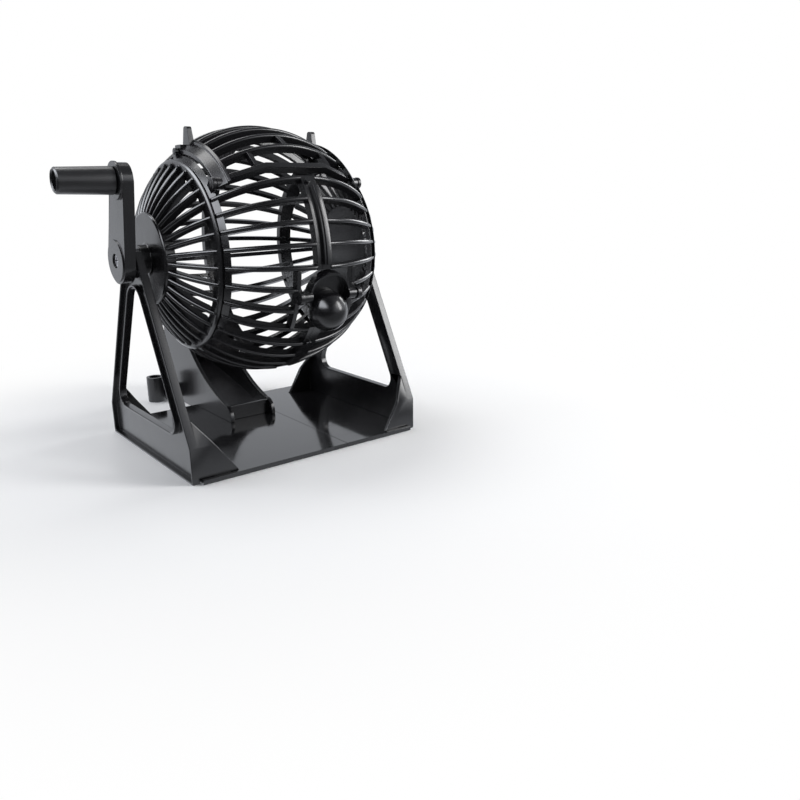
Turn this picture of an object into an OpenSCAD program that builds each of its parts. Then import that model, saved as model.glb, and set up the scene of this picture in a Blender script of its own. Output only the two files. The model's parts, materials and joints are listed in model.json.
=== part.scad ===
// Bingo cage: a ribbed plastic ball cage on a two-legged stand, with a crank, a loading door,
// a rocking exit gate and a ball chute behind and under the cage.
// Frame: origin on the table under the middle of the cage, X along the axle (crank at -X),
// -Y towards the player, +Z up. Lengths are in millimetres.
// Angles round the axle start at the top of the cage and grow towards the player.

/* [Cage] */
// Outer radius of the ribbed cage
cage_r = 83; // [78:0.5:88]
// Height of the axle above the table
axle_z = 131; // [128:0.5:136]
// Radius of the axle journals
axle_r = 5; // [4:0.25:6]
// Number of rib places round the cage
rib_count = 36; // [34:1:37]
// Turn of the rib places round the axle
rib_turn = -1.75; // [-1.85:0.05:-1.5]
// Width of a rib
rib_w = 3; // [2:0.1:3.6]
// Depth of a rib towards the axle
rib_d = 5.5; // [4.5:0.1:6.5]
// Radius of the hub discs that the ribs start from
hub_r = 29; // [24:0.5:32]
// Thickness of a hub disc at its rim
hub_t = 6; // [5.5:0.25:8]
// Distance from the cage's middle to the outer face of an end ring
ring_x = 58.5; // [56:0.5:60]
// Width of an end ring
ring_w = 6.5; // [6:0.25:7.5]
// Depth of an end ring's wall below the rib crests
ring_d = 6.5; // [5.5:0.25:8]
// Height of the rib crests above an end ring's flat band
crest_h = 1.6; // [1.2:0.1:2]
// Width of the seam band's crank-side half
band_left = 3.6; // [3:0.2:5]
// Width of the seam band's far half
band_right = 6.3; // [5.9:0.1:8]
// Depth of the seam band's wall
band_d = 5.5; // [4.5:0.25:7]
// Depth of the seam band's face below the rib crests
band_drop = 0.8; // [0.4:0.1:1.4]

/* [Seam clip and pegs] */
// Width of the raised seam clip
clip_w = 5.5; // [4:0.25:6]
// Height of the seam clip above the seam band
clip_h = 3.4; // [2:0.1:4]
// Angle where the seam clip starts
clip_from = 58; // [57:0.5:62]
// Angle where the seam clip ends
clip_to = 92; // [85:0.5:93]
// Radius of a seam peg
peg_r = 2; // [1.5:0.1:2.6]
// Height of a seam peg above the seam band
peg_h = 2; // [1:0.1:2.4]

/* [Loading door] */
// Number of ribs on the door
door_ribs = 5; // [5:1:5]
// Width of a door rail along the axle
rail_w = 7; // [6:0.25:7.5]
// Thickness of a door rail
rail_t = 2.4; // [1.8:0.1:3]
// Width of the raised lip on a rail
lip_w = 1.5; // [1:0.1:2]
// Height of the raised lip on a rail
lip_h = 1.4; // [0.8:0.1:2]
// Gap between the door and the cage
door_gap = 0.4; // [0.3:0.05:0.6]
// Angle of the door's hinge pins
hinge_a = 46; // [45.5:0.25:46.5]
// Height of the hinge pins above the rib crests at their ears
hinge_rise = 2.6541; // [2.4:0.0001:3]
// Radius of the hinge pins and the gate's pivots
pin_r = 2; // [1.6:0.1:2.2]
// Radial clearance of a turning pin
pin_gap = 0.05; // [0.02:0.01:0.1]
// Radius of a door knuckle
knuckle_r = 3.5; // [3.4:0.05:3.7]
// Radius of a pin ear on an end ring
ear_r = 3.8; // [3.7:0.05:4.2]
// Thickness of a pin ear
ear_t = 2.2; // [1.8:0.1:2.4]
// Height of the latch pins above the rib crests at their ears
latch_rise = 2.3541; // [2.1:0.0001:2.85]
// Radius of the latch pins
latch_pin_r = 1.5; // [1.2:0.1:1.6]
// Radius of a latch pin's ear
latch_ear_r = 2.6; // [2.4:0.1:2.8]
// Angle of the latch pins
latch_a = -2; // [-2.2:0.1:-1.6]
// Angle of the rail's latch end
rail_from = -5; // [-5:0.1:-4.5]
// Width of a finger tab round the cage
tab_w = 10.5; // [9:0.5:12]
// Height of a finger tab above its rail
tab_h = 12.5; // [9:0.5:14]
// Angle of the finger tabs
tab_a = 2; // [1:0.25:3]
// Thickness of a finger tab
tab_t = 3.2; // [2.6:0.1:3.6]
// Half length of the straight middle of the hinge bar
hinge_bar_half = 21; // [18:0.5:24]
// Width of the hinge bar
hinge_bar_w = 4; // [3:0.1:4.4]
// Angle of the hinge bar
hinge_bar_a = 45; // [44.5:0.25:45.5]
// Distance of the outer crossbars from the middle
cross_x = 26; // [24:0.5:30]
// Width of a crossbar
cross_w = 3; // [2:0.1:4]
// Depth of a crossbar
cross_d = 4; // [3:0.1:5]

/* [Exit gate] */
// Distance of the gate's middle from the cage's middle
gate_x = 5.5; // [4:0.25:7]
// Clear width of the gate's window
gate_clear = 40; // [38:0.5:42]
// Width of a window bar
gate_bar_w = 3; // [2.5:0.1:4]
// Outer radius of the ball cup
cup_r = 13; // [12.8:0.1:13.4]
// Wall of the cup and the hood
cup_wall = 1.4; // [1.2:0.1:1.8]
// Distance of the cup's middle from the pivot
cup_drop = 10.5; // [9.75:0.25:11]
// Depth of the cup's rim towards the axle
cup_rim = 4.6; // [4.5:0.05:4.8]
// Height of the gate's pivot above the rib crests
pivot_out = 0.5; // [0:0.25:1.5]
// Angle of the gate's pivot past the upper edge of its window
pivot_down = 12.5; // [12.25:0.25:13]
// Outer radius of the gate's hood
collar_r = 15.2; // [14.8:0.1:15.4]
// Depth of the gate's hood
collar_d = 7; // [6.9:0.05:7.1]
// Radius of a pivot ear on the window bars
pivot_ear_r = 4.2; // [3.8:0.1:4.6]

/* [Crank] */
// Distance from the axle to the grip
crank_len = 50; // [44:0.2:54]
// Tilt of the crank towards the player
crank_a = 17; // [0:0.5:30]
// Thickness of the crank arm
arm_t = 7; // [6:0.25:9]
// Radius of the arm's end at the axle
arm_r = 14.5; // [12:0.25:15]
// Radius of the arm's end at the grip
arm_tip_r = 10.4; // [10:0.1:11.5]
// Gap between the arm and the leg
arm_gap = 0.8; // [0.6:0.1:2]
// Length of the grip
grip_len = 33.4; // [28:0.2:40]
// Radius of the grip at its open end
grip_r = 7.4; // [7.2:0.1:8]
// Radius of the grip at the arm
grip_root_r = 8.2; // [8.1:0.1:9]
// Radius of the crank pin inside the grip
crank_pin_r = 5.5; // [4.6:0.1:5.8]
// Depth from the grip's open end to the crank pin
grip_recess = 6; // [4:0.5:10]
// Radius of the arm's screw recess
recess_r = 4.4; // [4.2:0.1:5]
// Radius of the screw head
screw_r = 3.8; // [3.2:0.1:4]
// Side of the axle's square end
drive_w = 6.4; // [5.6:0.1:6.8]

/* [Legs] */
// Half depth of a leg's foot
foot_y = 68.5; // [64:0.5:72]
// Height of the foot's upright edges
foot_z = 23; // [18:0.5:28]
// Half width of a leg at the axle
leg_neck = 12.8; // [12:0.1:13.5]
// Height of a leg's top above the axle
leg_rise = 6; // [4:0.25:8]
// Thickness of a leg's web at its inner side
web_t = 1.8; // [1.4:0.1:2.4]
// Depth of a leg's channel, web and flanges together
leg_d = 5.2; // [4.6:0.1:6]
// Length of the spacer between the cage and the crank-side leg
left_spacer = 5.5; // [3:0.25:7]
// Thickness of a leg's flanges
leg_wall = 1.5; // [1.2:0.1:2.2]
// Wall of the axle's cradle
cradle_wall = 6.5; // [5:0.25:7]
// Depth of the channel's top below the axle
saddle_drop = 6; // [5:0.25:8]
// Width of a leg's struts
strut_w = 12.5; // [11:0.25:14]
// Height of the window's lower edge
win_z = 27; // [25:0.5:30]
// Corner radius of the window's lower corners
win_corner = 8; // [6:0.5:10]
// Radius of the window's top
win_top_r = 12.4; // [11:0.2:13]
// Thickness of a foot gusset
gusset_t = 3; // [2.4:0.1:3.4]
// Distance of the foot gussets' tips from the middle
gusset_tip = 59; // [55:0.5:64]
// Height of the foot gussets
gusset_z = 39; // [34:0.5:46]

/* [Base] */
// Thickness of the base plates
plate_t = 3; // [2.4:0.1:4]
// Front edge of the base plates, towards the player
plate_front = 72; // [71.5:0.5:80]
// Back edge of the base plates
plate_back = 86; // [82:0.5:92]
// Distance of the seam between the plates from the middle
seam_x = 22; // [21:0.5:30]
// Overlap of the plates at the seam
seam_lap = 10; // [8:0.5:12]

/* [Chute] */
// Clear width of the chute
chute_clear = 32; // [26:0.5:33]
// Wall of the chute
chute_wall = 3; // [2:0.1:3.4]
// Height of the walls' top edges straight under the axle
chute_low = 11; // [8:0.5:13]
// Front edge of the chute's stop wall
stop_y = 28; // [26:0.5:32]
// Radius of the walls' rounded noses
nose_r = 10; // [9:0.25:10.5]
// Back end of the chute
chute_back = 138; // [134:0.5:146]
// Height of the chute's back end
chute_top = 66; // [58:0.5:72]
// Height of the ramp's back end
ramp_back_z = 30; // [26:0.5:36]
// Thickness of the ramp
ramp_t = 2.5; // [2:0.1:3]
// Outer radius of a rear post
post_r = 7; // [6:0.1:8]
// Bore radius of a rear post
post_bore_r = 4.6; // [3.8:0.1:5]
// Height of a rear post
post_h = 21; // [16:0.5:26]
// Distance of the rear posts from the middle
post_x = 34; // [32:0.5:38]
// Distance of the rear posts behind the axle
post_y = 129; // [126:0.5:132]

/* [Hidden] */
$fn = 96;

black = [0.07, 0.07, 0.075];
soft_black = [0.10, 0.10, 0.105];
steel = [0.62, 0.63, 0.65];

far = 400;
pitch = 360 / rib_count;
door_last = door_ribs - 1;
gate_first = 9;
gate_last = 12;
touch = 0.02;

// Ring stations along the axle, measured from the cage's middle
ring_in = ring_x - ring_w;
groove_out = ring_x - 1.8;
groove_in = ring_x - 2.9;
band_face_r = cage_r - band_drop;
hub_x = sqrt(cage_r * cage_r - hub_r * hub_r);
boss_r = 9;
boss_x = cage_r - 3.4;
right_in = cage_r - 3;
right_out = right_in + leg_d;
left_in = right_in + left_spacer;
left_out = left_in + leg_d;
arm_in = left_out + arm_gap;
arm_out = arm_in + arm_t;
drive_len = 4.5;

// Radius of the cage's round form at a distance from the middle
function crest(x) = sqrt(cage_r * cage_r - x * x);
// Angle of rib place k
function rib_a(k) = (k + 0.5) * pitch + rib_turn;
// Angle from +X, in the plane of a rib, of a place at a distance along the axle
function polar(x) = acos(x / cage_r);
// Points of an arc
function arc(c, r, a0, a1, n) = [for (i = [0:n]) let (a = a0 + (a1 - a0) * i / n) c + r * [cos(a), sin(a)]];
// A polygon with each corner rounded by its own radius
function unit(v) = v / norm(v);
function corner(p, q, s, r, n) =
    let (u = unit(p - q), w = unit(s - q), half = acos(u * w) / 2, c = q + unit(u + w) * r / sin(half),
         t0 = q + u * r / tan(half) - c, t1 = q + w * r / tan(half) - c,
         a0 = atan2(t0[1], t0[0]), turn = atan2(t1[1], t1[0]) - a0,
         short = turn > 180 ? turn - 360 : turn < -180 ? turn + 360 : turn)
    arc(c, r, a0, a0 + short, n);
function rounded(pts, radii, n = 10) =
    [for (i = [0:len(pts) - 1])
        each corner(pts[(i + len(pts) - 1) % len(pts)], pts[i], pts[(i + 1) % len(pts)], radii[i], n)];

// Placing helpers
module on_axle() { translate([0, 0, axle_z]) children(); }
module at_angle(a) { rotate([a, 0, 0]) children(); }
module mirrored() { mirror([1, 0, 0]) children(); }
// A profile of (radius, distance along the axle) turned from angle a to angle b
module turned(a, b) { rotate([a - 180, 0, 0]) rotate([0, 90, 0]) rotate_extrude(angle = b - a) children(); }
module full_turn() { rotate([0, 90, 0]) rotate_extrude() children(); }
// A profile of (y, z) pushed along the axle from x0 to x1
module pushed(x0, x1) { translate([x0, 0, 0]) rotate([90, 0, 90]) linear_extrude(x1 - x0) children(); }
module rod(x0, x1, r) { translate([x0, 0, 0]) rotate([0, 90, 0]) cylinder(h = x1 - x0, r = r); }
module slab(x0, x1) { translate([x0, -far, -far]) cube([x1 - x0, 2 * far, 2 * far]); }

// Ribs
module rib_section() {
    translate([cage_r - rib_d, -rib_w / 2]) square([rib_d - rib_w / 2, rib_w]);
    translate([cage_r - rib_w / 2, 0]) circle(d = rib_w, $fn = 32);
}
module rib(x0, x1) {
    spare = 4;
    from = polar(x1) - spare;
    to = polar(x0) + spare;
    intersection() {
        rotate([90, 0, 0]) rotate([0, 0, from]) rotate_extrude(angle = to - from) rib_section();
        slab(x0, x1);
    }
}

// Left end ring: bead, groove and flat band under the rib crests
module ring_section() {
    polygon([[crest(ring_x) - ring_d, -ring_x], [crest(ring_x) - 0.4, -ring_x],
             [crest(ring_x) + 0.9, -ring_x + 0.5], [crest(groove_out) + 0.3, -groove_out - 0.5],
             [crest(groove_out) - 0.7, -groove_out], [crest(groove_out) - 2, -groove_out],
             [crest(groove_in) - 2.6, -groove_in], [crest(groove_in) - crest_h, -groove_in],
             [crest(ring_in) - crest_h, -ring_in], [crest(ring_in) - ring_d, -ring_in]]);
}
// Left hub disc, without its axle
module hub_section() {
    polygon([[0, -hub_x + hub_t], [hub_r, -hub_x + hub_t], [hub_r, -hub_x - 0.4], [hub_r - 1, -hub_x - 1.2],
             [boss_r + 2, -boss_x + 0.8], [boss_r, -boss_x], [0, -boss_x]]);
}

// Stand: base plates
tenon_x = 9;
tenon_w = 12;
tenon_gap = 0.15;
tenon_lift = 0.4;
plate_gap = 0.5;
module plate(x0, x1) { translate([x0, -plate_front, 0]) cube([x1 - x0, plate_front + plate_back, plate_t]); }
module lap_cut(z0) { translate([seam_x - seam_lap, -far, z0]) cube([seam_lap, 2 * far, plate_t / 2]); }
// Tenons under the gussets of a left leg whose inner edge is at -x
module tenons(x, gap) {
    for (s = [-1, 1])
        translate([-x + tenon_x - gap, s * (foot_y - gusset_t / 2) - gusset_t / 2 - gap, -far])
            cube([tenon_w + 2 * gap, gusset_t + 2 * gap, far + plate_t + gap]);
}
module base_left() {
    color(black) difference() {
        plate(plate_gap - left_in, seam_x);
        lap_cut(-plate_t / 4);
        lap_cut(0);
        tenons(left_in, tenon_gap);
    }
}
module base_right() {
    color(black) difference() {
        union() {
            plate(seam_x, right_in - plate_gap);
            intersection() {
                plate(seam_x - seam_lap, seam_x);
                lap_cut(0);
            }
        }
        mirrored() tenons(right_in, tenon_gap);
    }
}

// Stand: legs. The outline is upright at the foot and leans in to the neck at the axle.
lean = (foot_y - leg_neck) / (axle_z - foot_z);
lean_k = sqrt(1 + lean * lean);
leg_top = axle_z + leg_rise;
saddle_z = axle_z - saddle_drop;
cradle_r = axle_r + cradle_wall;
function leg_edge(z, d) = foot_y - (z - foot_z) * lean - d * lean_k;
function leg_outline(d, z0, z1) =
    let (knee = foot_z - d * (lean_k - 1) / lean)
    [[d - foot_y, z0], [foot_y - d, z0], [foot_y - d, knee], [leg_edge(z1, d), z1], [-leg_edge(z1, d), z1],
     [d - foot_y, knee]];
win_half = leg_edge(win_z, strut_w);
function window(d) =
    let (foot = win_half + d * (lean + lean_k))
    rounded([[-foot, win_z - d], [foot, win_z - d], [0, win_z + (win_half + d * lean_k) / lean]],
            [win_corner + d, win_corner + d, win_top_r + d]);

module axle_slot() {
    translate([0, axle_z]) circle(r = axle_r + pin_gap);
    translate([-axle_r - pin_gap, axle_z]) square([2 * (axle_r + pin_gap), far]);
}
// Hollow of a leg's channel: web seen between the outer flange, the window's flange and the axle's cradle
module leg_pocket() {
    difference() {
        polygon(leg_outline(leg_wall, leg_wall, saddle_z));
        polygon(window(leg_wall));
        translate([0, axle_z]) circle(r = cradle_r);
    }
}
// A left leg whose inner face is at -x: a channel open to the outside, with gussets at its foot
module leg(x) {
    out = x + leg_d;
    difference() {
        union() {
            difference() {
                pushed(-out, -x) polygon(leg_outline(0, 0, leg_top));
                pushed(-out - 1, -x - web_t) leg_pocket();
            }
            intersection() {
                pushed(-x - web_t / 2, -gusset_tip + 1) difference() {
                    polygon(leg_outline(0, plate_t, gusset_z + 1));
                    polygon(leg_outline(gusset_t, -far, gusset_z + 2));
                }
                translate([0, far, 0]) rotate([90, 0, 0]) linear_extrude(2 * far)
                    polygon([[-x - web_t, plate_t], [-gusset_tip, plate_t], [-x, gusset_z],
                             [-x - web_t, gusset_z]]);
            }
            intersection() {
                tenons(x, 0);
                translate([-far, -far, tenon_lift]) cube([2 * far, 2 * far, plate_t + 1 - tenon_lift]);
            }
        }
        pushed(-far, 0) polygon(window(0));
        pushed(-far, 0) axle_slot();
    }
}
module left_leg() { color(black) leg(left_in); }
module right_leg() { color(black) mirrored() leg(right_in); }

// Stand: ball chute
chute_half = chute_clear / 2 + chute_wall;
chute_r = axle_z - chute_low;
nose_y = stop_y + chute_wall;
nose_mid = nose_y + 0.5;
// Height of the walls' top edges at a distance behind the axle
function top_z(y) = axle_z - sqrt(chute_r * chute_r - y * y);
module chute_side() {
    nose_z = top_z(nose_mid) - nose_r;
    polygon([each arc([nose_mid, nose_z], nose_r, 180 + asin((nose_z - plate_t) / nose_r), 90, 14),
             each arc([0, axle_z], chute_r, asin((nose_mid + 1) / chute_r) - 90,
                      -asin((axle_z - chute_top) / chute_r), 48),
             [chute_back, chute_top], [chute_back, 0], [plate_back, 0], [plate_back, plate_t]]);
}
stop_top = top_z(stop_y);
module chute() {
    color(black) {
        for (s = [-1, 1])
            translate([s * (chute_half - chute_wall / 2), 0, 0])
                pushed(-chute_wall / 2, chute_wall / 2) chute_side();
        pushed(-chute_clear / 2 - chute_wall / 2, chute_clear / 2 + chute_wall / 2)
            polygon([[stop_y, plate_t], [nose_y, plate_t], [chute_back - chute_wall, ramp_back_z - ramp_t],
                     [chute_back - chute_wall, 0], [chute_back, 0], [chute_back, chute_top],
                     [chute_back - chute_wall, chute_top], [chute_back - chute_wall, ramp_back_z],
                     [nose_y, plate_t + ramp_t], [nose_y, stop_top - 0.3], [stop_y, stop_top - 0.3]]);
    }
}
module left_rear_post() {
    web_h = 12;
    floor_t = 3;
    color(soft_black) difference() {
        union() {
            translate([-post_x, post_y, 0]) cylinder(h = post_h, r = post_r);
            translate([-post_x, post_y - chute_wall / 2, 0]) cube([post_x - chute_half, chute_wall, web_h]);
        }
        translate([-post_x, post_y, floor_t]) cylinder(h = post_h, r = post_bore_r);
    }
}
module right_rear_post() { mirrored() left_rear_post(); }

// Cage: hubs with their axle journals
module left_hub() {
    color(black) on_axle() {
        difference() {
            union() {
                full_turn() hub_section();
                rod(-left_in + 0.4, -boss_x, boss_r);
                rod(-arm_in, -boss_x, axle_r);
                translate([-arm_in - drive_len, -drive_w / 2, -drive_w / 2])
                    cube([drive_len + touch, drive_w, drive_w]);
            }
            rod(-arm_in - drive_len - 1, -arm_in + screw_bite, screw_shank_r);
        }
    }
}
screw_shank_r = 1.5;
screw_bite = 8;
module right_hub() {
    color(black) on_axle() mirrored() {
        full_turn() hub_section();
        rod(-right_out - 0.5, -boss_x, axle_r);
    }
}

// Cage: ribs between the hubs and the end rings
module left_end_ribs() {
    color(black) on_axle()
        for (k = [0:rib_count - 1])
            at_angle(rib_a(k)) difference() {
                rib(-hub_x - 1, -ring_x);
                full_turn() hub_section();
            }
}
module right_end_ribs() { mirrored() left_end_ribs(); }

// Cage: end rings, with the ears that carry the door's pins
module pin_ear(a, r, ear) {
    neck = ear - 0.4;
    foot = crest(ear_out) - ring_d / 2;
    at_angle(a) {
        translate([0, 0, r]) rod(-ear_out, -ear_out + ear_t, ear);
        translate([-ear_out, -neck, foot]) cube([ear_t, 2 * neck, r - foot]);
    }
}
ear_out = ring_in + ear_t - 0.1;
hinge_r = crest(ear_out) + hinge_rise;
latch_r = crest(ear_out) + latch_rise;
module left_ring() {
    color(black) on_axle() difference() {
        union() {
            full_turn() ring_section();
            pin_ear(hinge_a, hinge_r, ear_r);
            pin_ear(latch_a, latch_r, latch_ear_r);
        }
        for (pin = [[hinge_a, hinge_r, pin_r], [latch_a, latch_r, latch_pin_r]])
            at_angle(pin[0]) translate([0, 0, pin[1]])
                rod(-ear_out - 1, -ear_out + ear_t + 1, pin[2] + 0.03);
    }
}
module right_ring() { mirrored() left_ring(); }

// Cage: ribs between the end rings and the seam band or the gate's window
module left_side_ribs() {
    color(black) on_axle()
        for (k = [door_ribs:rib_count - 1])
            at_angle(rib_a(k)) difference() {
                rib(-groove_in, gated(k) ? -gate_out(-1) : -band_left);
                full_turn() ring_section();
            }
}
module right_side_ribs() {
    color(black) on_axle()
        for (k = [door_ribs:rib_count - 1])
            at_angle(rib_a(k)) mirrored() difference() {
                rib(-groove_in, gated(k) ? -gate_out(1) : -band_right);
                full_turn() ring_section();
            }
}
// True for a rib place that the gate's window interrupts
function gated(k) = k > gate_first && k < gate_last;
// Distance of the outer face of a window bar from the cage's middle, on the left (-1) or right (1)
function gate_out(s) = gate_clear / 2 + gate_bar_w + s * gate_x;

// Cage: seam band of each half, from the door to the gate and from the gate round to the door
module band_section(x0, x1) {
    translate([band_face_r - band_d, x0]) square([band_d, x1 - x0]);
}
band_from = rib_a(door_ribs);
band_end = rib_a(rib_count - 1);
gate_top = rib_a(gate_first);
gate_low = rib_a(gate_last);
band_over = asin((rib_w / 2) / cage_r);
module seam_band(x0, x1) {
    on_axle() {
        turned(band_from - band_over, gate_top + band_over) band_section(x0, x1);
        turned(gate_low - band_over, band_end + band_over) band_section(x0, x1);
    }
}
module left_seam_band() { color(black) seam_band(-band_left, 0); }
module right_seam_band() { color(black) seam_band(0, band_right); }

// Cage: raised clip and pegs that lock the seam
module seam_clip() {
    color(black) on_axle() turned(clip_from, clip_to) {
        translate([band_face_r, 0.2]) square([clip_h - 1, clip_w]);
        translate([band_face_r + clip_h - 1.4, 1.6]) square([1.4, clip_w - 2.8]);
    }
}
peg_angles = [55.2, 132, 190, 248, 302];
module seam_pegs() {
    color(black) on_axle()
        for (a = peg_angles)
            at_angle(a) difference() {
                translate([0, 0, band_face_r - 1]) cylinder(h = peg_h + 1, r = peg_r, $fn = 32);
                full_turn($fn = 360) band_section(-band_left, band_right);
            }
}

// Cage: bars at the sides of the gate's window, with ears for the gate's pivot
module gate_bar(x0, x1) {
    r1 = crest(max(abs(x0), abs(x1)));
    turned(gate_top, gate_low)
        translate([r1 - rib_d, x0]) square([rib_d, x1 - x0]);
}
pivot_a = gate_top + pivot_down;
pivot_at = cage_r + pivot_out;
module gate_frame() {
    color(black) on_axle() difference() {
        for (s = [-1, 1]) {
            x0 = gate_x + (s < 0 ? -gate_clear / 2 - gate_bar_w : gate_clear / 2);
            neck = crest(max(abs(x0), abs(x0 + gate_bar_w))) - rib_d / 2;
            gate_bar(x0, x0 + gate_bar_w);
            at_angle(pivot_a) {
                translate([0, 0, pivot_at]) rod(x0, x0 + gate_bar_w, pivot_ear_r);
                translate([x0, -pivot_ear_r, neck]) cube([gate_bar_w, 2 * pivot_ear_r, pivot_at - neck]);
            }
        }
        at_angle(pivot_a) translate([0, 0, pivot_at]) rod(-far, far, pin_r + pin_gap);
        for (k = [gate_first, gate_last])
            at_angle(rib_a(k)) translate([-far, -rib_w / 2, 0]) cube([2 * far, rib_w, far]);
    }
}

// Cage: door pins
pin_reach = 3;
module pins(a, r, size) {
    on_axle() at_angle(a) translate([0, 0, r])
        for (s = [-1, 1]) scale([s, 1, 1]) rod(-ear_out - 0.2, -ear_out + ear_t + pin_reach, size);
}
module hinge_pins() { color(black) pins(hinge_a, hinge_r, pin_r); }
module latch_pins() { color(black) pins(latch_a, latch_r, latch_pin_r); }

// Crank: arm with its pin, screw and grip
module at_grip() { on_axle() at_angle(crank_a) translate([0, 0, crank_len]) children(); }
collar_t = 1.6;
pin_end = arm_out + collar_t + grip_len - grip_recess;
bead_x = pin_end - 4;
bead_h = 0.4;
module arm_outline() {
    a = asin((arm_r - arm_tip_r) / crank_len);
    side = [cos(a), sin(a)];
    circle(r = arm_r);
    translate([0, crank_len]) circle(r = arm_tip_r);
    polygon([arm_r * side, [0, crank_len] + arm_tip_r * side,
             [-arm_tip_r * side[0], crank_len + arm_tip_r * side[1]], [-arm_r * side[0], arm_r * side[1]]]);
}
module crank_arm() {
    boss_h = 0.8;
    recess_d = 3;
    color(black) difference() {
        union() {
            on_axle() at_angle(crank_a) {
                pushed(-arm_out, -arm_in) arm_outline();
                rod(-arm_out - boss_h, -arm_out, arm_r - 1.5);
            }
            at_grip() {
                rod(-arm_out - collar_t, -arm_out + 0.3, arm_tip_r + 0.8);
                rod(-pin_end, -arm_out, crank_pin_r);
                rod(-bead_x - 1, -bead_x + 1, crank_pin_r + bead_h);
            }
        }
        on_axle() {
            rod(-arm_out - boss_h - 1, -arm_out - boss_h + recess_d, recess_r);
            rod(-arm_out - 1, 0, screw_shank_r + 0.1);
            translate([-arm_in - drive_len, -drive_w / 2, -drive_w / 2])
                cube([drive_len + 1, drive_w, drive_w]);
        }
    }
}
module crank_screw() {
    boss_h = 0.8;
    recess_d = 3;
    head_t = 2;
    seat = -arm_out - boss_h + recess_d;
    color(steel) on_axle() difference() {
        union() {
            rod(seat - head_t, seat, screw_r);
            rod(seat, -arm_in + screw_bite - 1, screw_shank_r);
        }
        translate([seat - head_t - 1, -0.5, -2.4]) cube([1.8, 1, 4.8]);
        translate([seat - head_t - 1, -2.4, -0.5]) cube([1.8, 4.8, 1]);
    }
}
module crank_grip() {
    root = arm_out + collar_t + 0.3;
    tip = arm_out + collar_t + grip_len;
    bore = crank_pin_r + pin_gap;
    groove = crank_pin_r + bead_h + pin_gap;
    color(soft_black) at_grip() full_turn()
        difference() {
            polygon([[bore, -root], [grip_root_r - 0.5, -root], [grip_root_r, -root - 0.6],
                     [grip_r + 0.1, -tip + 1], [grip_r - 0.9, -tip], [bore + 0.6, -tip],
                     [bore, -tip + 0.8]]);
            translate([0, -bead_x - 1.3]) square([groove, 2.6]);
        }
}

// Door: rails that lie beside the end rings, hinged at one end and latched at the other
rail_out = ring_in - 0.6;
rail_in = rail_out - rail_w;
rail_base = door_gap - crest_h;
rail_to = hinge_a + 3;
module rail_section() {
    polygon([[crest(rail_out) + rail_base, -rail_out], [crest(rail_out) + rail_base + rail_t, -rail_out],
             [crest(rail_in + lip_w) + rail_base + rail_t, -rail_in - lip_w],
             [crest(rail_in + lip_w) + rail_base + rail_t + lip_h, -rail_in - lip_w],
             [crest(rail_in) + rail_base + rail_t + lip_h, -rail_in],
             [crest(rail_in) + rail_base, -rail_in]]);
}
module finger_tab() {
    base = crest(rail_in + tab_t) + rail_base + rail_t - 1;
    tip = tab_w * 0.2;
    outline = rounded([[-tab_w / 2, base], [tab_w / 2, base], [tip + 0.4, base + tab_h],
                       [-tip - 0.4, base + tab_h]], [0.3, 0.3, tip, tip], 8);
    pushed(-rail_in - tab_t, -rail_in) polygon(outline);
}
module rail() {
    knuckle_x = ear_out - ear_t - door_gap;
    finger_r = latch_r + latch_pin_r + door_gap + 0.1;
    on_axle() difference() {
        union() {
            turned(rail_from, rail_to) rail_section();
            at_angle(tab_a) finger_tab();
            at_angle(hinge_a) translate([0, 0, hinge_r]) rod(-knuckle_x, -rail_out + 5.5, knuckle_r);
            turned(rail_from, tab_a)
                translate([finger_r, -knuckle_x]) square([rail_t, knuckle_x - rail_in - 0.5]);
        }
        at_angle(hinge_a) translate([0, 0, hinge_r]) rod(-far, -rail_out + pin_room, pin_r + pin_gap);
        at_angle(latch_a) translate([0, 0, latch_r]) rod(-far, -rail_out + pin_room, latch_pin_r + door_gap);
        turned(rail_from - 1, latch_a)
            translate([0, -far]) square([latch_r + latch_pin_r - 0.6, far - rail_out + pin_room]);
    }
}
pin_room = 3;
module door_left_rail() { color(black) rail(); }
module door_right_rail() { color(black) mirrored() rail(); }

// Door: ribs, the three-sided bar at the hinge and the crossbars
module door_bars() {
    color(black) on_axle()
        for (k = [0:door_last - 1])
            at_angle(rib_a(k)) rib(-rail_in, rail_in);
}
module door_hinge_bar() {
    end = rail_in;
    color(black) on_axle() at_angle(hinge_bar_a)
        rotate([90, 0, 0]) translate([0, 0, -hinge_bar_w / 2]) linear_extrude(hinge_bar_w)
            polygon([[-end, crest(end) - rib_d], [-end, crest(end)],
                     [-hinge_bar_half, crest(hinge_bar_half)],
                     [hinge_bar_half, crest(hinge_bar_half)], [end, crest(end)], [end, crest(end) - rib_d],
                     [hinge_bar_half, crest(hinge_bar_half) - rib_d],
                     [-hinge_bar_half, crest(hinge_bar_half) - rib_d]]);
}
// Angle of the door's bar j, the last of which is the hinge bar
function bar_a(j) = j == door_last ? hinge_bar_a : rib_a(j);
module crossbar(k, x) {
    r1 = crest(abs(x) + cross_w / 2) - 0.5;
    on_axle() difference() {
        turned(bar_a(k), bar_a(k + 1)) translate([r1 - cross_d, x - cross_w / 2]) square([cross_d, cross_w]);
        for (j = [k, k + 1])
            at_angle(bar_a(j)) translate([x - cross_w, -(j == door_last ? hinge_bar_w : rib_w) / 2, 0])
                cube([2 * cross_w, j == door_last ? hinge_bar_w : rib_w, far]);
    }
}
module door_crossbars() {
    color(black) {
        crossbar(door_last - 1, -cross_x);
        crossbar(door_last - 1, cross_x);
        crossbar(door_last - 2, 0);
    }
}

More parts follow.
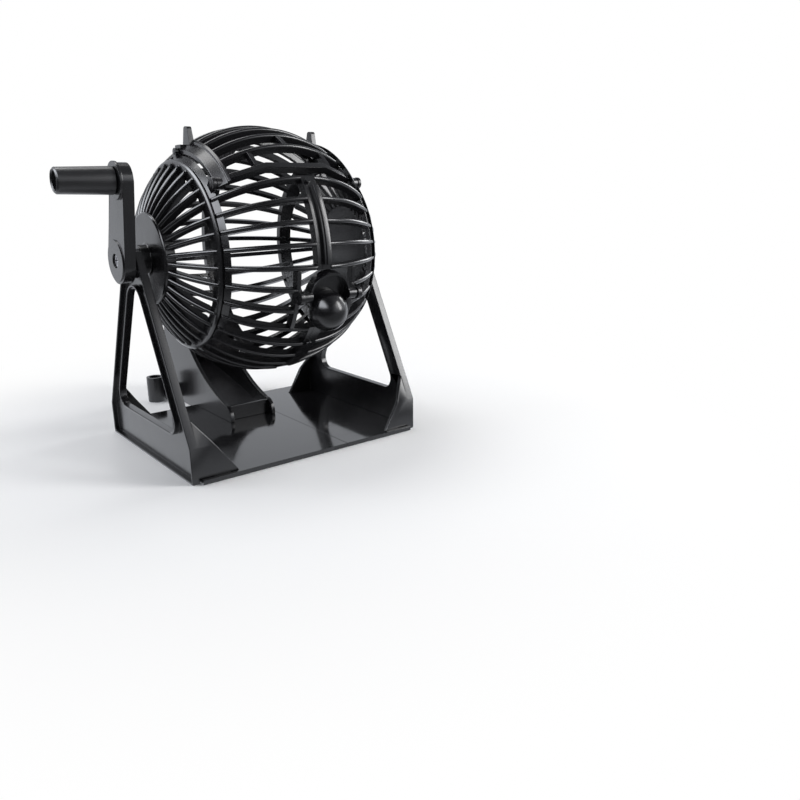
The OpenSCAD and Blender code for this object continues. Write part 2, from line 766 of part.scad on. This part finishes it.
// Exit gate: a hood on two pivots, closed at the back, with a cup for one ball below it
module exit_gate() {
    arm_x = gate_clear / 2 - door_gap;
    cheek_r = 3.2;
    collar_in = collar_r - cup_wall;
    cup_in = cup_r - cup_wall;
    hood_low = cup_drop - 1.5;
    color(black) on_axle() at_angle(pivot_a) translate([gate_x, 0, pivot_at]) difference() {
        union() {
            intersection() {
                translate([0, -cup_drop, 0]) sphere(r = cup_r);
                translate([-far, -far, -cup_rim]) cube([2 * far, 2 * far, far]);
            }
            intersection() {
                union() {
                    difference() {
                        union() {
                            translate([0, 0, 1 - collar_d]) cylinder(h = collar_d, r = collar_r);
                            rod(-arm_x, arm_x, cheek_r);
                            rod(-arm_x - gate_bar_w, arm_x + gate_bar_w, pin_r);
                        }
                        translate([0, 0, -far]) cylinder(h = 2 * far, r = collar_in);
                    }
                    translate([0, 0, 1.2 - collar_d]) cylinder(h = cup_wall, r = collar_in + cup_wall / 2);
                }
                translate([-far, -hood_low, -far]) cube([2 * far, 2 * far, 2 * far]);
            }
        }
        translate([0, -cup_drop, 0]) {
            sphere(r = cup_in);
            translate([0, 0, -far]) cylinder(h = far, r = cup_in);
        }
    }
}

base_left();
base_right();
left_leg();
right_leg();
chute();
left_rear_post();
right_rear_post();
left_hub();
right_hub();
left_end_ribs();
right_end_ribs();
left_ring();
right_ring();
left_side_ribs();
right_side_ribs();
left_seam_band();
right_seam_band();
seam_clip();
seam_pegs();
gate_frame();
hinge_pins();
latch_pins();
crank_arm();
crank_screw();
crank_grip();
door_left_rail();
door_right_rail();
door_bars();
door_hinge_bar();
door_crossbars();
exit_gate();
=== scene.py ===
# %% [markdown]
# # A bingo cage in black plastic
# The CAD model holds every solid of this cage: the stand, the ribbed cage, the crank, the loading door
# and the exit gate. This lesson dresses it. The solids have knife-sharp edges, which no moulding has,
# so each one is copied, its edges are rounded, and the copy gets a finish made only from shader nodes.

# %% Load the CAD frame
import json
import math

import bpy
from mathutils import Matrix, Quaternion, Vector

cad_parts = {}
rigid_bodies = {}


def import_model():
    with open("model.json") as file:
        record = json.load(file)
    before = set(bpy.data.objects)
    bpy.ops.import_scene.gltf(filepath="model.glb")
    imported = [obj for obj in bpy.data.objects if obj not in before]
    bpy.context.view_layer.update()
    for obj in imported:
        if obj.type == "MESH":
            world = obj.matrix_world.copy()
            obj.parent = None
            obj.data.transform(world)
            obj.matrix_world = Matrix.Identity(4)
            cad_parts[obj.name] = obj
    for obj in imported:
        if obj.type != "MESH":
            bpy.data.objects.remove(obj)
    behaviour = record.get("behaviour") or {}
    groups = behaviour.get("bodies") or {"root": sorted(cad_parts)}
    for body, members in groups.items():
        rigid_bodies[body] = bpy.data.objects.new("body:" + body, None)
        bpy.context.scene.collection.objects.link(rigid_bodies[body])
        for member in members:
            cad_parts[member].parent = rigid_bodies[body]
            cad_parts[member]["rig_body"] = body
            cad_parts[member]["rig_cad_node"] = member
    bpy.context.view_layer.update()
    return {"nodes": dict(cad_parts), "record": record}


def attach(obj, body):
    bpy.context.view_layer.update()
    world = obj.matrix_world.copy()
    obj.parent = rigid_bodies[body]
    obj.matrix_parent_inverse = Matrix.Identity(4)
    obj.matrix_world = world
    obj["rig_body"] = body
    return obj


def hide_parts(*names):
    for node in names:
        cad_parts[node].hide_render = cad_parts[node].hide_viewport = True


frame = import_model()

bpy.ops.object.select_all(action="DESELECT")
MM = 0.001
AXLE = Vector((0, 0, 0.131))

# %% [markdown]
# ## Camera
# The photograph was taken from the crank side, a little above the axle. A camera is described by where it
# stands, where it looks, how it is tilted, and its lens with the width of its sensor. The clip distance
# only has to be shorter than the way to the nearest piece.

# %% Camera
CAMERA_PLACE = Vector((-0.2565, -0.4727, 0.1753))
CAMERA_AIM = Vector((0.606, 0.745, -0.279))
CAMERA_TILT = math.radians(-0.37)
CAMERA_LENS = 33.32
SENSOR = 36.0
CLIP_START = 0.01

bpy.ops.object.camera_add(location=CAMERA_PLACE)
camera = bpy.context.object
camera.name = "photo_camera"
turn = CAMERA_AIM.to_track_quat("-Z", "Y") @ Quaternion((0, 0, 1), CAMERA_TILT)
camera.rotation_euler = turn.to_euler()
camera.data.sensor_width = SENSOR
camera.data.lens = CAMERA_LENS
camera.data.clip_start = CLIP_START
bpy.context.scene.camera = camera
bpy.context.scene.view_settings.view_transform = "Standard"
print("camera to axle, mm:", round((AXLE - CAMERA_PLACE).length / MM))

# %% [markdown]
# ## Studio
# Black plastic shows almost nothing of itself: what the eye sees is the room mirrored in it. A product
# photographer puts such a thing on a white sweep, lights the sweep, and keeps the camera's own side of
# the room dim, so that the forms stay black with bright rims. The world below does the same. A camera
# ray sees white. A mirrored ray sees a white sweep behind the object, a dark card on the far left with a
# bright window above it, and in front a dim room that grows lighter to the right. Each level is a strength,
# and each reach says where along X, Y or Z of the ray's direction one level gives way to the next.

# %% Helper: shader nodes
def add(tree, kind, **settings):
    """Adds a shader node to a tree and sets its plain properties."""
    node = tree.nodes.new("ShaderNode" + kind)
    for key, value in settings.items():
        setattr(node, key, value)
    return node


def step(tree, source, reach, levels):
    """A soft step from the first level to the second while the source crosses the reach."""
    node = add(tree, "MapRange", interpolation_type="SMOOTHSTEP")
    for socket, value in zip(("From Min", "From Max", "To Min", "To Max"), (*reach, *levels)):
        node.inputs[socket].default_value = value
    tree.links.new(source, node.inputs["Value"])
    return node.outputs["Result"]


def product(tree, *factors):
    """The product of several values."""
    total = factors[0]
    for factor in factors[1:]:
        node = add(tree, "Math", operation="MULTIPLY")
        tree.links.new(total, node.inputs[0])
        tree.links.new(factor, node.inputs[1])
        total = node.outputs[0]
    return total


def mix(tree, factor, low, high, kind="FLOAT"):
    """Goes from low to high with the factor; each end is a value or another node's output."""
    node = add(tree, "Mix", data_type=kind)
    sockets = [k for k in node.inputs if k.enabled]
    tree.links.new(factor, sockets[0])
    for socket, end in zip(sockets[1:], (low, high)):
        if isinstance(end, bpy.types.NodeSocket):
            tree.links.new(end, socket)
        else:
            socket.default_value = end
    return next(k for k in node.outputs if k.enabled)


# %% World
WHITE = (1.0, 1.0, 1.0, 1.0)
COOL = (0.91, 0.94, 1.0, 1.0)
ROOM_DARK = 0.12
ROOM_RIGHT = 1.3
ROOM_BACK = 0.95
ROOM_LEFT = 1.3
ROOM_CARD = 0.08
ROOM_HIGH = 0.3
ROOM_WINDOW = 9.0
ROOM_FILL = 0.20
FRONT_REACH = (-0.20, 0.40)
LEFT_REACH = (-0.50, -0.05)
CARD_REACH = (-0.64, -0.46)
WALL_REACH = (-0.45, 0.45)
HIGH_REACH = (0.35, 0.65)
WINDOW_ACROSS = (-0.60, -0.40)
WINDOW_UP = (0.30, 0.50)

world = bpy.data.worlds.new("white_sweep")
bpy.context.scene.world = world
world.use_nodes = True
sky = world.node_tree
sky.nodes.clear()
way = add(sky, "TexCoord")
split = add(sky, "SeparateXYZ")
sky.links.new(way.outputs["Generated"], split.inputs[0])
across, deep, up = split.outputs["X"], split.outputs["Y"], split.outputs["Z"]

front = step(sky, across, FRONT_REACH, (ROOM_DARK, ROOM_RIGHT))
behind = product(sky, step(sky, across, LEFT_REACH, (ROOM_LEFT, ROOM_BACK)),
                 step(sky, across, CARD_REACH, (ROOM_CARD, 1.0)))
walls = mix(sky, step(sky, deep, WALL_REACH, (0.0, 1.0)), front, behind)
dim = product(sky, walls, step(sky, up, HIGH_REACH, (1.0, ROOM_HIGH)))
window = product(sky, step(sky, across, WINDOW_ACROSS, (ROOM_WINDOW, 0.0)),
                 step(sky, up, WINDOW_UP, (0.0, 1.0)))
room = add(sky, "Math", operation="ADD")
sky.links.new(dim, room.inputs[0])
sky.links.new(window, room.inputs[1])

path = add(sky, "LightPath")
mirrored = add(sky, "Math", operation="MAXIMUM")
sky.links.new(path.outputs["Is Glossy Ray"], mirrored.inputs[0])
sky.links.new(path.outputs["Is Transmission Ray"], mirrored.inputs[1])
seen = mix(sky, mirrored.outputs[0], ROOM_FILL, room.outputs[0])
air = add(sky, "Background")
sky.links.new(mix(sky, path.outputs["Is Camera Ray"], COOL, WHITE, "RGBA"), air.inputs["Color"])
sky.links.new(mix(sky, path.outputs["Is Camera Ray"], seen, 1.0), air.inputs["Strength"])
sky_out = add(sky, "OutputWorld")
sky.links.new(air.outputs[0], sky_out.inputs["Surface"])
print("world nodes:", len(sky.nodes))

# %% [markdown]
# The floor is a large white sheet. Near the object it is plain diffuse white, so it takes a soft shadow;
# far away it glows at exactly white, so no horizon shows. In a mirror it shows a painted glow instead of
# its lit self: painted light behind, painted shade in front, and a painted dark patch on the far left.

# %% Floor
FLOOR_SIZE = 8.0
FLOOR_DROP = 0.05 * MM
FLOOR_COLOUR = (0.93, 0.93, 0.93, 1.0)
SHADOW_REACH = (0.12, 0.36)
# The next five values set the painted glow that only mirrors see on the floor: painted light behind,
# painted shade in front, and a painted dark patch on the far left.
MIRROR_FRONT = 0.35
MIRROR_BACK = 1.2
MIRROR_REACH = (-0.20, -0.05)
DARK_PATCH_LINE = (1.0, 0.45, 0.0)
DARK_PATCH_EDGE = (-0.34, -0.18)

bpy.ops.mesh.primitive_plane_add(size=FLOOR_SIZE, location=(0, 0, -FLOOR_DROP))
floor = bpy.context.object
floor.name = "studio_floor"

sheet = bpy.data.materials.new("white_sheet")
sheet.use_nodes = True
tree = sheet.node_tree
tree.nodes.clear()
place = add(tree, "TexCoord")
far = add(tree, "VectorMath", operation="LENGTH")
tree.links.new(place.outputs["Object"], far.inputs[0])
matte = add(tree, "BsdfDiffuse")
matte.inputs["Color"].default_value = FLOOR_COLOUR
glow = add(tree, "Emission")
glow.inputs["Color"].default_value = WHITE
paper = add(tree, "MixShader")
tree.links.new(step(tree, far.outputs["Value"], SHADOW_REACH, (0.0, 1.0)), paper.inputs["Fac"])
tree.links.new(matte.outputs[0], paper.inputs[1])
tree.links.new(glow.outputs[0], paper.inputs[2])

spot = add(tree, "SeparateXYZ")
tree.links.new(place.outputs["Object"], spot.inputs[0])
along = add(tree, "VectorMath", operation="DOT_PRODUCT")
along.inputs[1].default_value = DARK_PATCH_LINE
tree.links.new(place.outputs["Object"], along.inputs[0])
# What mirrors see of the floor is a painted glow, not the lit floor: painted light behind, painted shade in
# front, and a painted dark patch at the ROOM_CARD level on the far left.
painted_floor_reflection = add(tree, "Emission")
painted_floor_reflection.inputs["Color"].default_value = COOL
painted_reflection_level = product(tree, step(tree, spot.outputs["Y"], MIRROR_REACH, (MIRROR_FRONT, MIRROR_BACK)),
                         step(tree, along.outputs["Value"], DARK_PATCH_EDGE, (ROOM_CARD, 1.0)))
tree.links.new(painted_reflection_level, painted_floor_reflection.inputs["Strength"])
ray = add(tree, "LightPath")
either = add(tree, "MixShader")
tree.links.new(ray.outputs["Is Glossy Ray"], either.inputs["Fac"])
tree.links.new(paper.outputs[0], either.inputs[1])
tree.links.new(painted_floor_reflection.outputs[0], either.inputs[2])
sheet_out = add(tree, "OutputMaterial")
tree.links.new(either.outputs[0], sheet_out.inputs["Surface"])
floor.data.materials.append(sheet)
print("floor:", FLOOR_SIZE, "m")

# %% [markdown]
# Five soft boxes shape the black. A large cool one stands high on the crank side, where the window is, and
# the two draw a line along each end rib. One hangs over the cage and lights the door's rails. The three on
# the right and in front run down the leaning front edges of the legs and make the round highlights on the
# exit cup.

# %% Soft boxes
CAGE_MIDDLE = Vector((0, 0, 0.12))


def soft_box(name, place, width, height, watts, colour=(1.0, 1.0, 1.0)):
    """An area light at a place, turned to the middle of the cage."""
    bpy.ops.object.light_add(type="AREA", location=place)
    lamp = bpy.context.object
    lamp.name = name
    lamp.data.shape = "RECTANGLE"
    lamp.data.size = width
    lamp.data.size_y = height
    lamp.data.energy = watts
    lamp.data.color = colour
    lamp.rotation_euler = (CAGE_MIDDLE - Vector(place)).to_track_quat("-Z", "Y").to_euler()


soft_box("crank_side_box", (-0.80, 0.42, 0.64), width=0.80, height=0.60, watts=4.0, colour=COOL[:3])
soft_box("overhead_box", (-0.08, 0.40, 1.05), width=0.60, height=0.45, watts=4.2)
soft_box("front_box", (0.52, -0.92, 0.58), width=0.40, height=0.45, watts=1.5)
soft_box("corner_box", (0.80, -0.78, 0.56), width=0.32, height=0.74, watts=9.0)
soft_box("right_box", (1.15, 0.18, 0.53), width=0.35, height=0.50, watts=4.5)

# %% [markdown]
# ## Rounded edges
# A moulding has no sharp edge: the steel of its mould is cut with a small radius everywhere. Those radii
# catch the light as thin bright lines, and on a black object they are most of what shows its form.
# A CAD node is loose triangles, so a copy is merged first, its flat faces are joined into one face each,
# and a Bevel modifier rounds every edge that turns sharply. Smooth shading would now bend the light on
# the flats beside each radius, so a Weighted Normal modifier gives the large faces the last word and the
# flats stay flat. The copy then stands for the CAD node.

# %% Helper: a moulded copy of a CAD node
MERGE = 2e-6
FLAT_ANGLE = math.radians(0.5)
SHARP_ANGLE = math.radians(38)
SMOOTH_ANGLE = math.radians(32)
ROUND_STEPS = 2

finishes = {}


def moulded(node_name, finish, radius_mm):
    """Copies a CAD node, rounds its edges, and lets the copy ride on the node's body in its place."""
    node = frame["nodes"][node_name]
    body = next(b for b, members in frame["record"]["behaviour"]["bodies"].items() if node_name in members)
    piece = node.copy()
    piece.data = node.data.copy()
    piece.name = node_name + "_moulded"
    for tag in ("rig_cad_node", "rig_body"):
        del piece[tag]
    piece.parent = None
    bpy.context.scene.collection.objects.link(piece)
    bpy.ops.object.select_all(action="DESELECT")
    bpy.context.view_layer.objects.active = piece
    piece.select_set(True)
    bpy.ops.mesh.customdata_custom_splitnormals_clear()
    bpy.ops.object.mode_set(mode="EDIT")
    bpy.ops.mesh.select_all(action="SELECT")
    bpy.ops.mesh.remove_doubles(threshold=MERGE)
    bpy.ops.mesh.select_all(action="SELECT")
    bpy.ops.mesh.dissolve_limited(angle_limit=FLAT_ANGLE)
    bpy.ops.object.mode_set(mode="OBJECT")
    rounding = piece.modifiers.new("rounding", "BEVEL")
    rounding.width = radius_mm * MM
    rounding.segments = ROUND_STEPS
    rounding.limit_method = "ANGLE"
    rounding.angle_limit = SHARP_ANGLE
    rounding.use_clamp_overlap = False
    bpy.ops.object.modifier_apply(modifier=rounding.name)
    bpy.ops.object.shade_smooth_by_angle(angle=SMOOTH_ANGLE)
    flattening = piece.modifiers.new("flattening", "WEIGHTED_NORMAL")
    flattening.keep_sharp = True
    bpy.ops.object.modifier_apply(modifier=flattening.name)
    piece.data.materials.clear()
    piece.data.materials.append(finishes[finish])
    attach(piece, body)
    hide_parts(node_name)


# %% [markdown]
# ## Finishes
# The three plastics share a few parts: a noise that varies the gloss, as handling and the mould's polish
# do, and a bump in two sizes, the slow ripple of a cooled moulding and the fine grain of the mould's steel.

# %% Helper: a plastic finish
PLASTIC_IOR = 1.5
TINT_MM = 22
WEAR_MM = 9
WEAR_REACH = (0.3, 0.7)
RIPPLE_DEPTH = 0.2 * MM
GRAIN_DEPTH = 0.02 * MM


def bump(tree, height, strength, depth):
    """A Bump node whose height comes from another node's output."""
    node = add(tree, "Bump")
    node.inputs["Strength"].default_value = strength
    node.inputs["Distance"].default_value = depth
    tree.links.new(height, node.inputs["Height"])
    return node


def plastic(name, dark, pale, gloss, grain_mm, grain, ripple_mm, ripple):
    """A Principled material whose colour, roughness and bump vary on Object coordinates."""
    finish = bpy.data.materials.new(name)
    finish.use_nodes = True
    tree = finish.node_tree
    shader = tree.nodes["Principled BSDF"]
    shader.inputs["IOR"].default_value = PLASTIC_IOR
    place = add(tree, "TexCoord")

    def noise(size_mm, detail):
        """Noise with grains of about this size."""
        node = add(tree, "TexNoise")
        node.inputs["Scale"].default_value = 1 / (size_mm * MM)
        node.inputs["Detail"].default_value = detail
        tree.links.new(place.outputs["Object"], node.inputs["Vector"])
        return node.outputs["Fac"]

    tint = mix(tree, noise(TINT_MM, detail=4), (*dark, 1.0), (*pale, 1.0), "RGBA")
    tree.links.new(tint, shader.inputs["Base Color"])

    worn = add(tree, "MapRange")
    for socket, value in zip(("From Min", "From Max", "To Min", "To Max"), (*WEAR_REACH, *gloss)):
        worn.inputs[socket].default_value = value
    tree.links.new(noise(WEAR_MM, detail=5), worn.inputs["Value"])
    tree.links.new(worn.outputs["Result"], shader.inputs["Roughness"])

    slow = bump(tree, noise(ripple_mm, detail=1), ripple, RIPPLE_DEPTH)
    fine = bump(tree, noise(grain_mm, detail=2), grain, GRAIN_DEPTH)
    tree.links.new(slow.outputs["Normal"], fine.inputs["Normal"])
    tree.links.new(fine.outputs["Normal"], shader.inputs["Normal"])
    finishes[name] = finish


# %% Black plastics
plastic("black_plastic", dark=(0.006, 0.006, 0.0068), pale=(0.009, 0.009, 0.0102), gloss=(0.20, 0.25),
        grain_mm=0.5, grain=0.012, ripple_mm=26, ripple=0.02)
plastic("mirror_black_plastic", dark=(0.006, 0.006, 0.0065), pale=(0.009, 0.009, 0.010), gloss=(0.07, 0.12),
        grain_mm=0.4, grain=0.03, ripple_mm=30, ripple=0.03)
plastic("satin_black_plastic", dark=(0.008, 0.008, 0.0088), pale=(0.014, 0.014, 0.0155), gloss=(0.30, 0.40),
        grain_mm=0.6, grain=0.08, ripple_mm=12, ripple=0.04)
print("plastics:", sorted(finishes))

# %% [markdown]
# The screw is plain bright steel, turned on a lathe. Rings of a wave texture round its axis give the
# turning marks, and they also vary its roughness.

# %% Screw steel
STEEL_COLOUR = (0.42, 0.42, 0.44, 1.0)
RING_SCALE = 900
RING_WOBBLE = 0.6
STEEL_GLOSS = (0.20, 0.34)
MARK_STRENGTH = 0.08

steel = bpy.data.materials.new("screw_steel")
steel.use_nodes = True
tree = steel.node_tree
shader = tree.nodes["Principled BSDF"]
shader.inputs["Base Color"].default_value = STEEL_COLOUR
shader.inputs["Metallic"].default_value = 1.0
place = add(tree, "TexCoord")
centre = add(tree, "Mapping")
centre.inputs["Location"].default_value = -AXLE
tree.links.new(place.outputs["Object"], centre.inputs["Vector"])
rings = add(tree, "TexWave", wave_type="RINGS", rings_direction="X")
rings.inputs["Scale"].default_value = RING_SCALE
rings.inputs["Distortion"].default_value = RING_WOBBLE
tree.links.new(centre.outputs["Vector"], rings.inputs["Vector"])
turned = add(tree, "MapRange")
turned.inputs["To Min"].default_value, turned.inputs["To Max"].default_value = STEEL_GLOSS
tree.links.new(rings.outputs["Fac"], turned.inputs["Value"])
tree.links.new(turned.outputs["Result"], shader.inputs["Roughness"])
marks = bump(tree, rings.outputs["Fac"], MARK_STRENGTH, GRAIN_DEPTH)
tree.links.new(marks.outputs["Normal"], shader.inputs["Normal"])
finishes["screw_steel"] = steel
print("finishes:", sorted(finishes))

# %% [markdown]
# ## Dressing every node
# Each moulding gets the radius that its size allows: thick plates and legs the largest, thin ribs and
# pins the smallest. A radius also fills inner corners, so the crank and the door's rails, which run close
# to their neighbours, keep theirs small enough to leave the gap open.

# %% Round and finish every node
EDGE_RADII = {
    "base_left": 0.35, "base_right": 0.35, "left_leg": 0.6, "right_leg": 0.6, "chute": 0.4,
    "left_rear_post": 0.4, "right_rear_post": 0.4,
    "left_hub": 0.4, "right_hub": 0.4, "left_end_ribs": 0.25, "right_end_ribs": 0.25,
    "left_ring": 0.3, "right_ring": 0.3, "left_side_ribs": 0.25, "right_side_ribs": 0.25,
    "left_seam_band": 0.3, "right_seam_band": 0.3, "seam_clip": 0.4, "seam_pegs": 0.3, "gate_frame": 0.3,
    "hinge_pins": 0.3, "latch_pins": 0.3,
    "crank_arm": 0.3, "crank_screw": 0.15, "crank_grip": 0.25,
    "door_left_rail": 0.15, "door_right_rail": 0.15, "door_bars": 0.25, "door_hinge_bar": 0.4,
    "door_crossbars": 0.3, "exit_gate": 0.25,
}
slot_of = {row["node"]: row["material_slot"] for row in frame["record"]["subparts"]}
for node_name, radius in EDGE_RADII.items():
    moulded(node_name, slot_of[node_name], radius)
print("dressed:", len(EDGE_RADII), "of", len(frame["nodes"]))
